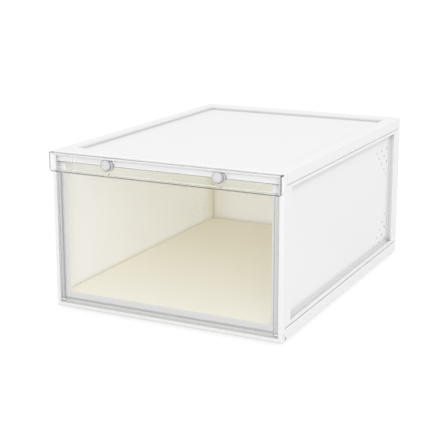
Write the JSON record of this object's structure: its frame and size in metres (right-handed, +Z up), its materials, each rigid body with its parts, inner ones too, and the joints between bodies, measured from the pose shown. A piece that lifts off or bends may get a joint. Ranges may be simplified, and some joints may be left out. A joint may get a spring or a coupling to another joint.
{
  "type": "shoe storage box",
  "caption": "Stackable white plastic shoe box with a clear drop-front door, hinged at its foot and held shut by magnets in a full-width handle bar.",
  "frame": {"origin": "middle of the footprint, on the surface that the box stands on; the footprint runs from the front of the handle bar to the back of the box", "axes": "+Z up; +Y along the depth of the box, from the door to the rear panel, so the door faces -Y; +X to the right of a person facing the door"},
  "size_m": [0.26, 0.3664, 0.171],
  "materials": {
    "white_shell": "fine satin",
    "clear_door": "clear, polished",
    "clear_bar": "clear, polished",
    "magnet": "nickel plated",
    "keeper_steel": "zinc plated",
    "pin_nylon": "natural nylon"
  },
  "bodies": {
    "case": {"base_tray": "white_shell", "top_cover": "white_shell", "left_side_panel": "white_shell", "right_side_panel": "white_shell", "rear_panel": "white_shell", "front_frame": "white_shell", "left_keeper_plate": "keeper_steel", "right_keeper_plate": "keeper_steel", "left_hinge_pin": "pin_nylon", "right_hinge_pin": "pin_nylon"},
    "door": {"door_panel": "clear_door", "handle_bar": "clear_bar", "left_door_magnet": "magnet", "right_door_magnet": "magnet"}
  },
  "joints": [
    {"name": "door_hinge", "type": "hinge", "parent": "case", "child": "door", "pos_m": [0, -0.17405, 0.0102], "axis": [1, 0, 0], "range_deg": [0, 90]}
  ]
}
